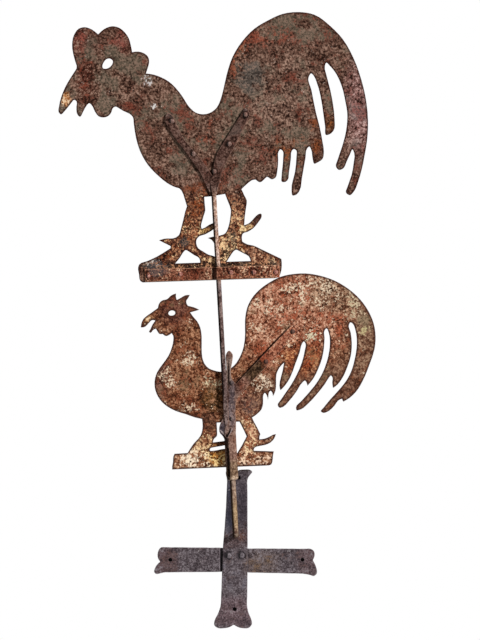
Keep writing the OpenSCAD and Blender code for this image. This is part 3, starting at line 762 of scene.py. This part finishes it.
def forge(node, voxel, soften, blows, blow_size, swell=0.0):
    """A copy of a packed bar with soft edges and hammer blows, which stays inside its solid."""
    source = whole_skin(node)
    tree = BVHTree.FromBMesh(source)
    data = bpy.data.meshes.new(node + "_iron")
    source.to_mesh(data)
    source.free()
    made = add(node + "_iron", data)
    net = made.modifiers.new("net", "REMESH")
    net.mode = "VOXEL"
    net.voxel_size = voxel
    net.adaptivity = 0
    calm = made.modifiers.new("calm", "SMOOTH")
    calm.factor = 0.5
    calm.iterations = soften
    graph = bpy.context.evaluated_depsgraph_get()
    finished = bpy.data.meshes.new_from_object(made.evaluated_get(graph))
    made.modifiers.clear()
    made.data = finished
    bpy.data.meshes.remove(data)
    finished.name = made.name
    pulled = 0
    moved_to = []
    for vertex in finished.vertices:
        at = vertex.co
        slow = noise.noise(at / blow_size)
        quick = noise.noise(at / blow_size * 3.1 + Vector((9, 4, 2)))
        target = at + vertex.normal * (swell + blows * (0.9 * slow + 0.35 * quick - 0.45))
        hit, face_normal, _, _ = tree.find_nearest(target)
        if (target - hit).dot(face_normal) > -UNDER_FACE:
            target = hit - face_normal * UNDER_FACE
            pulled += 1
        moved_to.append(target)
    for vertex, target in zip(finished.vertices, moved_to):
        vertex.co = target
    finished.update()
    bend = edge_bend(finished)
    finished.attributes.new("bend", "FLOAT", "POINT").data.foreach_set("value", bend)
    finished.shade_smooth()
    print(made.name, len(finished.vertices), "points,", pulled, "put back, bend",
          np.percentile(bend, [2, 50, 98]).round(2))
    return made


# %% [markdown]
# ## Who rides on what
# The bracket's pieces stay with the wall. All others turn with the vane. Each piece stands for its
# imported solid, which stays hidden, and takes the finish that is handed to it.

# %% Placing a piece
STANDS_STILL = ("upright_strap", "cross_strap", "crossing_rivets", "spindle")


def stand_in(made, node, look):
    """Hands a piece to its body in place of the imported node."""
    made.data.materials.clear()
    made.data.materials.append(look)
    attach(made, "bracket" if node in STANDS_STILL else "vane")
    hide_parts(node)


# %% [markdown]
# ## The large rooster
# Its sheet is taupe iron with a fine red-brown speckle and dark pits. Orange rust gathers at the comb,
# at the left edge of the tail and on the low feathers. The legs and the plinth are much brighter, with
# cream and golden flecks.

# %% Zones of its head, tail and body
head_and_tail = [
    zone((280, 98), (32, 42), 0.5, Body=(110, 81, 68), Pale=(172, 139, 121)),
    zone((92, 41), (13, 10), Body=(88, 60, 49), Pale=(144, 110, 95), Cool=(84, 72, 60)),
    zone((77, 38), (9, 16), Body=(104, 60, 50), Rust=(158, 84, 70), Rusted=0.7, Cooled=0.0),
    zone((122, 43), (10, 14), Body=(104, 66, 54), Rust=(160, 90, 78), Rusted=0.66, Cooled=0.15),
    zone((86, 78), (8, 20), 0.7, Body=(92, 50, 38), Rust=(142, 66, 46), Rusted=0.65),
    zone((108, 72), (20, 20), Rusted=0.1, Cooled=0.8),
    zone((147, 80), (5, 8), Fleck=(206, 200, 198), Flecks=0.45),
    zone((153, 106), (3, 3), Fleck=(222, 216, 212), Flecks=0.75),
    zone((238, 54), (9, 26), Pale=(176, 136, 116), Rust=(172, 94, 64), Rusted=0.74),
    zone((262, 36), (22, 10), 0.7, Rust=(164, 86, 64), Rusted=0.64),
    zone((250, 76), (15, 20), 0.5, Rusted=0.08, Cool=(90, 86, 80), Cooled=0.95),
    zone((316, 136), (10, 20), Dark=(56, 26, 14), Rust=(156, 86, 48), Rusted=0.6, Cooled=0.1),
    zone((294, 150), (18, 14), Body=(96, 60, 44), Rust=(164, 88, 44), Rusted=0.6),
    zone((330, 126), (6, 10), Body=(104, 64, 38), Rust=(160, 92, 44), Rusted=0.6),
    zone((360, 105), (14, 46), Body=(138, 98, 91), Pale=(212, 176, 168), Cool=(112, 96, 92),
         Rust=(158, 94, 86), Rusted=0.5),
    zone((204, 133), (12, 12), 0.7, Rust=(158, 86, 64), Rusted=0.55),
    zone((190, 190), (26, 12), Dark=(44, 22, 14), Rust=(138, 76, 50), Rusted=0.6, Cooled=0.15),
]

# %% Zones of its legs, plinth and beak
legs_and_beak = [
    zone((208, 240), (84, 46), 0.25, Dark=(22, 9, 6), Body=(100, 58, 42), Pale=(206, 148, 108),
         Rust=(156, 78, 40), Rusted=0.45, Cool=(82, 74, 66), Cooled=0.3, Fleck=(246, 204, 154), Flecks=0.30,
         Pits=1.0),
    zone((240, 230), (18, 24), 0.5, Flecks=0.36),
    zone((256, 254), (14, 8), 0.5, Flecks=0.38, Pale=(190, 136, 104), Fleck=(246, 206, 168)),
    zone((275, 260), (8, 8), Body=(74, 58, 48), Flecks=0.16),
    zone((157, 264), (13, 8), Cool=(84, 82, 84), Cooled=0.9, Rusted=0.2, Fleck=(218, 210, 202),
         Flecks=0.24),
    zone((229, 252), (10, 14), 0.5, Dark=(18, 18, 14), Body=(84, 56, 40), Fleck=(248, 210, 160),
         Flecks=0.5),
    zone((246, 228), (7, 5), 0.5, Body=(190, 144, 96), Fleck=(250, 218, 164), Flecks=0.66),
    zone((258, 219), (5, 7), 0.5, Body=(76, 50, 42), Pale=(120, 88, 76), Flecks=0.0),
    zone((190, 206), (18, 10), Dark=(34, 16, 12), Body=(84, 50, 38), Flecks=0.12),
    zone((207, 231), (7, 4), 0.5, Body=(120, 84, 40), Fleck=(232, 190, 120), Flecks=0.4),
    zone((170, 250), (24, 12), Body=(92, 52, 38), Flecks=0.14),
    zone((184, 243), (4, 8), 0.8, Cool=(66, 68, 68), Cooled=0.9, Rusted=0.0, Flecks=0.16),
    zone((233, 238), (4, 8), 0.8, Cool=(66, 72, 64), Cooled=0.9, Rusted=0.1),
    # Painted shade: a dark band along the plinth's top, just above the plinth strap, in its recess.
    zone((204, 266), (72, 4), 0.4, Body=(58, 40, 32), Dark=(30, 18, 14), Rusted=0.2, Flecks=0.14),
    zone((66, 99), (5.4, 6.4), 0.4, Dark=(58, 26, 10), Body=(172, 108, 56), Pale=(246, 200, 156),
         Rust=(176, 100, 48), Fleck=(252, 224, 186), Flecks=0.42, Cooled=0.0),
]

# %% Large rooster's finish
weathered = iron(
    "weathered_sheet", zones=head_and_tail + legs_and_beak, rim_width=3.3 * MM, rim_colour=(56, 29, 23),
    Grain=0.0036, Dark=(38, 20, 14), Body=(100, 71, 58), Pale=(160, 127, 110), Cool=(92, 84, 70),
    Cooled=0.5, Rust=(134, 70, 54), Rusted=0.36, Fleck=(190, 166, 152), Flecks=0.04, Pits=0.65)

# %% Large rooster
large = cut_sheet("upper_rooster", waves=0.45 * MM)
stand_in(large, "upper_rooster", weathered)

# %% [markdown]
# ## The small rooster
# The small sheet is much redder. Neck and breast are brown with orange speckle and cream patches, the
# tail is salmon with pale flecks, and the plinth is almost covered by a worn cream coat. The fork's
# long arm casts one dark shadow line across the tail, which is painted on.

# %% Zones of its tail
salmon_tail = [
    zone((292, 312), (58, 50), 0.45, Dark=(70, 30, 18), Body=(158, 98, 72), Pale=(232, 184, 154),
         Rust=(192, 94, 62), Rusted=0.48, Fleck=(236, 212, 182), Flecks=0.24),
    zone((272, 364), (14, 13), Dark=(68, 28, 16), Body=(158, 94, 68), Pale=(230, 174, 142),
         Rust=(188, 92, 58), Rusted=0.5, Flecks=0.24),
    zone((318, 290), (34, 14), Flecks=0.42, Rusted=0.3),
    zone((270, 302), (10, 14), Flecks=0.38),
    zone((334, 294), (24, 20), 0.5, Dark=(58, 32, 20), Body=(126, 86, 64), Pale=(200, 162, 132),
         Rust=(156, 86, 60)),
    zone((310, 336), (7, 6), Fleck=(222, 210, 178), Flecks=0.5),
    zone((350, 306), (10, 12), Fleck=(206, 186, 152), Flecks=0.5),
    zone((366, 345), (18, 50), 0.5, Dark=(76, 44, 30), Body=(126, 90, 70), Pale=(180, 148, 120),
         Rust=(146, 88, 60), Cool=(120, 104, 80), Cooled=0.45),
    zone((364, 330), (8, 9), Fleck=(192, 176, 130), Flecks=0.4),
    zone((318, 392), (64, 34), 0.4, Dark=(70, 40, 26), Body=(116, 78, 60), Pale=(160, 124, 100),
         Rust=(150, 84, 52), Cool=(112, 92, 70), Cooled=0.4, Flecks=0.03),
    zone((302, 358), (24, 15), Dark=(62, 26, 14), Body=(142, 76, 48), Pale=(216, 152, 104),
         Rust=(178, 82, 46), Rusted=0.42, Flecks=0.16),
]

# %% Zones of its head, breast, legs and plinth
breast_and_legs = [
    zone((176, 308), (16, 18), 0.5, Dark=(50, 26, 20), Body=(98, 56, 44), Pale=(140, 94, 76), Flecks=0.0),
    zone((148, 320), (5, 4), 0.5, Dark=(110, 68, 38), Body=(196, 142, 92), Pale=(244, 206, 160),
         Rust=(180, 112, 60), Fleck=(250, 222, 184), Flecks=0.4),
    zone((159, 372), (9, 32), Dark=(42, 20, 16), Body=(96, 58, 46), Pale=(152, 108, 90)),
    zone((187, 358), (12, 7), 0.7, Flecks=0.55),
    zone((167, 378), (10, 9), 0.7, Flecks=0.52),
    zone((211, 386), (12, 9), 0.7, Fleck=(220, 202, 164), Flecks=0.55),
    zone((187, 407), (16, 6), 0.7, Flecks=0.5),
    zone((262, 385), (11, 9), Fleck=(232, 208, 182), Flecks=0.6),
    zone((212, 398), (11, 14), 0.5, Dark=(44, 26, 12), Body=(92, 62, 36), Rust=(128, 80, 36), Flecks=0.06),
    zone((241, 392), (6, 12), Body=(146, 104, 84), Pale=(206, 166, 140), Flecks=0.3),
    zone((250, 406), (14, 16), 0.5, Body=(110, 72, 58), Cool=(98, 74, 68), Cooled=0.4, Rust=(136, 72, 54),
         Rusted=0.45, Flecks=0.04),
    zone((218, 458), (60, 14), 0.3, Dark=(58, 26, 12), Body=(138, 88, 60), Pale=(216, 172, 136),
         Rust=(164, 84, 50), Rusted=0.4, Fleck=(252, 230, 200), Flecks=0.5),
    zone((262, 460), (26, 16), 0.5, Fleck=(244, 210, 180), Flecks=0.4),
    zone((204, 443), (12, 12), 0.4, Pale=(212, 166, 124), Fleck=(250, 216, 166), Flecks=0.5),
    zone((217, 457), (9, 12), 0.5, Dark=(74, 38, 12), Body=(174, 108, 48), Pale=(236, 184, 100),
         Fleck=(250, 214, 146)),
    zone((250, 436), (16, 20), 0.5, Dark=(92, 46, 28), Body=(148, 92, 66), Pale=(218, 170, 136),
         Rust=(176, 96, 60), Rusted=0.45, Fleck=(248, 214, 168), Flecks=0.4),
    zone((208, 422), (10, 11), 0.5, Dark=(48, 26, 18), Body=(94, 58, 42), Pale=(152, 106, 80), Flecks=0.0),
]

# %% Small rooster's finish
# Painted shadow: a thin dark line beside the long fork arm, where the arm shades the tail.
arm_shadow_line = zone((262.9, 354.4), (43, 1.0), 0.5, turn=46.6, Dark=(12, 5, 3), Body=(32, 14, 9),
                Pale=(70, 38, 26), Rust=(56, 24, 15), Flecks=NO_FLECKS)
rusty = iron(
    "rusty_sheet", zones=salmon_tail + breast_and_legs, crisp=[arm_shadow_line], rim_width=4.0 * MM,
    rim_colour=(70, 42, 33),
    Grain=0.0036, Dark=(46, 20, 12), Body=(116, 68, 44), Pale=(188, 137, 104), Cool=(104, 82, 58),
    Cooled=0.2, Rust=(152, 82, 54), Rusted=0.42, Fleck=(226, 200, 170), Flecks=0.08)

# %% Small rooster
small = cut_sheet("lower_rooster", waves=0.4 * MM)
stand_in(small, "lower_rooster", rusty)

# %% [markdown]
# ## Fork irons
# The long rod was once painted and is pinkish where it passes the large rooster's legs, then purple-grey
# further down. The fork arms are plain brown iron. The socket turns tan towards its mouth, where the
# hand that hangs the vane has rubbed it. Its two lips meet in a V with light edges, and the socket's
# left lip and the gap beside the finger carry painted shade.

# %% Rod's finish
UPPER_ARM_RIVETS = ((245.6, 114.6), (229.7, 144), (214.3, 171.3), (194.6, 152.2), (172.3, 118.8))
rod_zones = [
    zone((218, 235), (20, 44), 0.3, Dark=(104, 64, 46), Body=(174, 136, 116), Pale=(228, 198, 180),
         Flecks=0.25, Fleck=(238, 216, 200)),
    zone((208, 145), (60, 46), 0.25, Dark=(34, 19, 15), Body=(78, 53, 45), Pale=(122, 94, 84),
         Cool=(80, 66, 60), Cooled=0.35, Rust=(108, 62, 50), Rusted=0.35, Flecks=NO_FLECKS, Pits=0.1),
]
# Dirt and painted shadow round each rivet of the upper fork's arms.
arm_rivet_shadows = dirt_and_shadow_rings(UPPER_ARM_RIVETS, 4.2, 0.3, Dark=(18, 10, 8), Body=(38, 23, 19), Pale=(76, 54, 46))
rod_look = iron(
    "rod_iron", rod_zones, arm_rivet_shadows, worn=(150, 116, 102), grime_and_side_shade=(20, 11, 9), side_shade=0.95,
    Grain=0.0034, Dark=(54, 38, 35), Body=(97, 77, 73), Pale=(146, 125, 119), Cool=(92, 78, 81), Cooled=0.3,
    Rust=(112, 78, 68), Rusted=0.25, Fleck=(196, 172, 158), Flecks=0.05, Pits=0.4)

# %% Stem's finish
stem_zones = [
    zone((229, 372), (6, 13), 0.4, Dark=(104, 84, 76), Body=(142, 118, 106), Pale=(172, 148, 134),
         Cooled=0.0, Rusted=0.1),
    zone((231.5, 404), (3.6, 22), 0.5, Dark=(68, 56, 58), Body=(110, 93, 93), Pale=(154, 134, 131),
         Cool=(90, 84, 94), Cooled=0.6, Rusted=0.05),
    zone((287, 338), (40, 40), 0.3, Dark=(64, 26, 16), Body=(148, 86, 64), Pale=(220, 162, 130),
         Cool=(120, 82, 68), Rust=(168, 80, 52), Rusted=0.5, Fleck=(232, 200, 168), Flecks=0.22),
    zone((254, 371), (13, 12), 0.4, Dark=(30, 18, 10), Body=(70, 50, 34), Pale=(114, 86, 64),
         Cool=(68, 54, 40), Cooled=0.5, Rust=(96, 56, 36), Rusted=0.2, Flecks=0.02),
    zone((244, 385), (7, 9), 0.5, Dark=(60, 32, 24), Body=(114, 76, 62), Pale=(168, 126, 108),
         Rust=(140, 80, 60), Rusted=0.45),
    # Painted shade: the socket's left lip, on the side away from the sun, is darkened.
    zone((222, 431), (4, 9), 0.5, Dark=(32, 26, 30), Body=(58, 50, 56), Pale=(94, 84, 90), Rusted=0.05),
    zone((233, 452), (9, 20), 0.4, Body=(134, 101, 88), Pale=(176, 144, 128), Dark=(80, 54, 44),
         Cooled=0.1),
    zone((234, 470), (9, 9), 0.4, Body=(113, 88, 68), Pale=(150, 123, 99), Dark=(66, 45, 32), Cooled=0.0),
    zone((231, 478.8), (10, 2.4), 0.5, Body=(182, 154, 128), Pale=(210, 186, 162)),
]
# Painted shade: a dark line in the gap between the rod and the finger.
stem_marks = [zone((228.6, 374), (1.1, 14), 0.5, Dark=(20, 12, 10), Body=(36, 24, 21), Pale=(66, 50, 44),
                   Flecks=NO_FLECKS)]
# Light lines along the edges of the two lips, where they meet in a V.
for pixel, turn in (((223.6, 433.6), -45), ((230.2, 432.4), 58)):
    stem_marks.append(zone(pixel, (5.4, 0.7), 0.5, turn, Dark=(120, 104, 104), Body=(158, 142, 140),
                           Pale=(188, 172, 168)))
stem_look = iron(
    "stem_iron", stem_zones, stem_marks, worn=(168, 132, 114), grime_and_side_shade=(24, 13, 10), side_shade=0.95,
    Grain=0.0034, Dark=(68, 44, 38), Body=(116, 88, 78), Pale=(158, 130, 118), Cool=(100, 84, 82),
    Cooled=0.2, Rust=(124, 82, 64), Rusted=0.3, Fleck=(190, 160, 140), Flecks=0.03, Pits=0.4)

# %% Forks
FORK = dict(voxel=0.7 * MM, soften=11, blows=0.30 * MM, blow_size=9 * MM, swell=0.34 * MM)
stand_in(forge("upper_fork_rod", **FORK), "upper_fork_rod", rod_look)
stand_in(forge("lower_fork", **FORK), "lower_fork", stem_look)

# %% [markdown]
# ## Plinth strap
# The strap across the large rooster's plinth shares the bright rust of the legs, with golden flecks
# near its ends.

# %% Plinth strap
PLINTH_RIVETS = ((230.6, 270.9), (253.4, 271.5), (275.3, 272.1))
strap_zones = [
    zone((262, 272), (30, 10), 0.4, Dark=(24, 7, 4), Rust=(158, 64, 40), Pale=(206, 140, 108), Flecks=0.40),
    zone((157, 272), (11, 9), Cool=(80, 74, 74), Cooled=0.8, Rusted=0.25),
]
# Dirt and painted shadow round each rivet of the plinth strap.
strap_rivet_shadows = dirt_and_shadow_rings(PLINTH_RIVETS, 4.2, 0.4, Body=(60, 24, 16), Flecks=0.06)
strap_look = iron(
    "plinth_strap_iron", strap_zones, strap_rivet_shadows, worn=(212, 160, 130), grime_and_side_shade=(22, 10, 7), side_shade=0.7,
    Grain=0.0034, Dark=(32, 12, 8), Body=(98, 54, 38), Pale=(180, 122, 96), Cool=(78, 60, 54), Cooled=0.2,
    Rust=(140, 66, 44), Rusted=0.45, Fleck=(244, 200, 164), Flecks=0.18)
strap = forge("plinth_strap", voxel=0.6 * MM, soften=6, blows=0.3 * MM, blow_size=8 * MM,
              swell=0.15 * MM)
stand_in(strap, "plinth_strap", strap_look)

# %% [markdown]
# ## Bracket and spindle
# The bracket was forged dark and has stayed in the lee of the wall: purple-grey iron with a light
# speckle. Its fishtails are redder. The spindle is tan where it comes out of the socket, golden
# further down and grey at its riveted foot.

# %% Bracket's finish
CROSSING_RIVETS = ((228.7, 555.9), (241.6, 555.8))
bracket_zones = [
    # The first three zones are painted shade beside the spindle: darker bands on both sides and a
    # near-black strip at its left. The left band also keeps a blue-grey tint.
    zone((229, 505), (6, 26), 0.5, Dark=(42, 40, 46), Body=(60, 57, 65), Pale=(92, 87, 95),
         Cool=(54, 55, 68), Cooled=0.7, Rusted=0.0),
    zone((243, 505), (9, 28), Dark=(44, 38, 43), Body=(62, 54, 61), Pale=(88, 79, 85)),
    zone((231, 512), (1.8, 26), 0.5, Body=(46, 42, 52), Cool=(42, 42, 56), Pale=(66, 62, 72)),
    zone((238, 538), (16, 9), Body=(88, 68, 67), Rust=(100, 70, 62), Rusted=0.35),
    zone((241, 537), (3, 4), Body=(98, 66, 54)),
    zone((262, 564), (16, 13), Body=(104, 89, 85), Rust=(124, 97, 72), Rusted=0.42),
    zone((166, 562), (11, 20), 0.5, Body=(92, 72, 74), Rusted=0.5),
    zone((308, 560), (10, 20), 0.5, Body=(98, 78, 80), Rusted=0.5),
    zone((234, 612), (22, 14), 0.5, Body=(98, 78, 82), Pale=(134, 118, 122), Rusted=0.5),
]
# Painted shade: the recess beside the upright is painted near black.
groove_shade = zone((221.4, 561), (1.6, 14), 0.3, Dark=(12, 9, 11), Body=(24, 19, 22), Pale=(44, 37, 41),
              Flecks=NO_FLECKS)
# Dirt and painted shadow round the two crossing rivets.
crossing_rivet_shadows = dirt_and_shadow_rings(CROSSING_RIVETS, 4.6, 0.3, Dark=(26, 21, 24), Body=(46, 39, 43), Pale=(74, 64, 69),
                       Flecks=NO_FLECKS)
bracket_look = iron(
    "bracket_iron", bracket_zones, [groove_shade, *crossing_rivet_shadows], worn=(128, 116, 120), grime_and_side_shade=(22, 17, 20),
    side_shade=0.6, shine=0.18,
    Grain=0.0030, Dark=(50, 41, 44), Body=(84, 74, 78), Pale=(124, 115, 119), Cool=(78, 74, 84), Cooled=0.3,
    Rust=(96, 72, 68), Rusted=0.28, Fleck=(160, 152, 152), Flecks=0.08, Pits=0.5)

# %% Spindle's finish
spindle_zones = [
    zone((235, 515), (9, 14), Body=(148, 121, 90), Cooled=0.0, Pale=(178, 151, 118)),
    zone((236, 536), (9, 6), 0.5, Body=(128, 108, 92), Pale=(156, 136, 120)),
]
spindle_look = iron(
    "spindle_iron", spindle_zones, worn=(184, 162, 142), grime_and_side_shade=(32, 18, 12), side_shade=0.95,
    Grain=0.0036, Dark=(94, 68, 56), Body=(142, 116, 98), Pale=(176, 152, 132), Cool=(134, 114, 102),
    Cooled=0.3, Rust=(140, 106, 74), Rusted=0.15, Fleck=(200, 176, 150), Flecks=0.0, Pits=0.25)

# %% Bracket
STRAP = dict(voxel=0.8 * MM, soften=5, blows=0.30 * MM, blow_size=11 * MM, swell=0.1 * MM)
for node in ("upright_strap", "cross_strap"):
    stand_in(forge(node, **STRAP), node, bracket_look)
spindle = forge("spindle", voxel=0.5 * MM, soften=4, blows=0.12 * MM, blow_size=7 * MM,
                swell=0.12 * MM)
stand_in(spindle, "spindle", spindle_look)

# %% [markdown]
# ## Rivets
# Each rivet head was closed by hand, so no two are alike. The blows left them smoother than the iron
# around them, and the light catches each dome. The two at the crossing are a little lighter than the
# bracket. Those on the upper fork are rubbed brown, those on the lower fork are darker, and those on
# the plinth strap are red.

# %% Rivet finishes
dark_rivet_look = iron(
    "dark_rivet_iron", worn=(156, 147, 151), grime_and_side_shade=(18, 13, 16), side_shade=0.95, shine=0.5,
    Grain=0.0026, Dark=(74, 66, 70), Body=(106, 97, 102), Pale=(138, 129, 134), Cool=(98, 93, 102),
    Rust=(104, 82, 78), Rusted=0.15, Flecks=0.0, Pits=0.0)
rivet_look = iron(
    "rivet_iron", worn=(176, 144, 130), grime_and_side_shade=(20, 11, 9), side_shade=0.95, shine=0.45,
    Grain=0.0026, Dark=(66, 42, 36), Body=(112, 84, 76), Pale=(156, 128, 118), Cool=(100, 86, 84),
    Rust=(124, 78, 64), Rusted=0.3, Flecks=0.0, Pits=0.0)
stem_rivet_zones = [
    zone((231, 400), (14, 34), 0.2, Dark=(60, 50, 52), Body=(98, 84, 83), Pale=(134, 118, 116),
         Rusted=0.05),
]
brown_rivet_look = iron(
    "brown_rivet_iron", stem_rivet_zones, worn=(138, 106, 94), grime_and_side_shade=(20, 10, 8), side_shade=0.95, shine=0.3,
    Grain=0.0026, Dark=(34, 18, 13), Body=(78, 48, 38), Pale=(126, 90, 76), Cool=(84, 60, 52), Cooled=0.1,
    Rust=(110, 60, 44), Rusted=0.3, Flecks=NO_FLECKS, Pits=0.3)
red_rivet_look = iron(
    "red_rivet_iron", worn=(226, 176, 160), grime_and_side_shade=(22, 10, 8), side_shade=0.95, shine=0.45,
    Grain=0.0026, Dark=(70, 26, 18), Body=(132, 70, 58), Pale=(214, 160, 142), Cool=(120, 84, 78),
    Cooled=0.1, Rust=(160, 70, 54), Rusted=0.35, Flecks=0.0, Pits=0.2)

# %% Rivets
for node, slot, look in (("crossing_rivets", "bracket_iron", dark_rivet_look),
                         ("lower_fork_rivets", "fork_iron", brown_rivet_look),
                         ("upper_fork_rivets", "fork_iron", rivet_look),
                         ("plinth_strap_rivets", "fork_iron", red_rivet_look)):
    heads = forge(node, voxel=0.35 * MM, soften=2, blows=0.12 * MM, blow_size=3 * MM)
    stand_in(heads, node, look)

# %% [markdown]
# ## The plug in the socket
# Nothing shows of the plug from outside, so its solid stays, and only its finish changes.

# %% Plug
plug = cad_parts["socket_plug"]
plug.data.materials.clear()
plug.data.materials.append(stem_look)
print("the plug keeps its solid of", len(plug.data.polygons), "faces")
